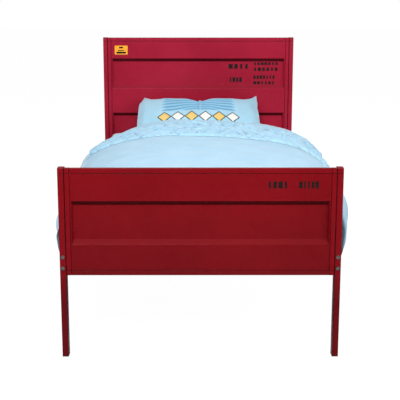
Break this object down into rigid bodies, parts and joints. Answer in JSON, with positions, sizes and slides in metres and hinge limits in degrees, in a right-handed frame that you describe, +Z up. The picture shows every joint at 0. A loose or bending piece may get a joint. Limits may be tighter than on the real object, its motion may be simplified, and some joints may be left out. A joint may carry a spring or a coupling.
{
  "type": "platform bed",
  "caption": "Twin metal platform bed with pressed-panel headboard and footboard, slat deck, mattress, comforter and pillow.",
  "frame": {"origin": "on the floor, midway between the sides and midway between the footboard's front and the headboard's back", "axes": "+Y from the foot to the head, +Z up, +X to the right of someone facing the headboard from the foot"},
  "size_m": [1.3039, 2.0158, 1.118],
  "materials": {
    "red_paint": "satin",
    "bolt_steel": "satin",
    "black_plastic": "matte",
    "mattress_cloth": "matte",
    "comforter_cloth": "matte",
    "pillow_cloth": "matte"
  },
  "bodies": {
    "frame": {"headboard_panel": "red_paint", "headboard_top_rail": "red_paint", "headboard_bottom_rail": "red_paint", "headboard_post_caps": "red_paint", "headboard_stile_caps": "red_paint", "headboard_post_left": "red_paint", "headboard_stile_left": "red_paint", "headboard_post_right": "red_paint", "headboard_stile_right": "red_paint", "headboard_bolts": "bolt_steel", "footboard_panel": "red_paint", "footboard_top_rail": "red_paint", "footboard_bottom_rail": "red_paint", "footboard_post_caps": "red_paint", "footboard_stile_caps": "red_paint", "footboard_post_left": "red_paint", "footboard_stile_left": "red_paint", "footboard_post_right": "red_paint", "footboard_stile_right": "red_paint", "footboard_bolts": "bolt_steel", "side_rail_left": "red_paint", "rail_end_plates_left": "red_paint", "slat_ledge_left": "red_paint", "side_rail_right": "red_paint", "rail_end_plates_right": "red_paint", "slat_ledge_right": "red_paint", "leg_glides": "black_plastic", "slat_01": "red_paint", "slat_02": "red_paint", "slat_03": "red_paint", "slat_04": "red_paint", "slat_05": "red_paint", "slat_06": "red_paint", "slat_07": "red_paint", "slat_08": "red_paint", "slat_09": "red_paint", "slat_10": "red_paint", "slat_11": "red_paint", "slat_12": "red_paint", "slat_13": "red_paint"},
    "mattress": {"mattress": "mattress_cloth", "comforter": "comforter_cloth"},
    "pillow": {"pillow": "pillow_cloth"}
  },
  "joints": [
    {"name": "mattress_lift", "type": "slide", "parent": "frame", "child": "mattress", "axis": [0, 0, 1], "range_m": [0, 0.75]},
    {"name": "pillow_lift", "type": "slide", "parent": "mattress", "child": "pillow", "axis": [0, 0, 1], "range_m": [0, 0.4]}
  ]
}
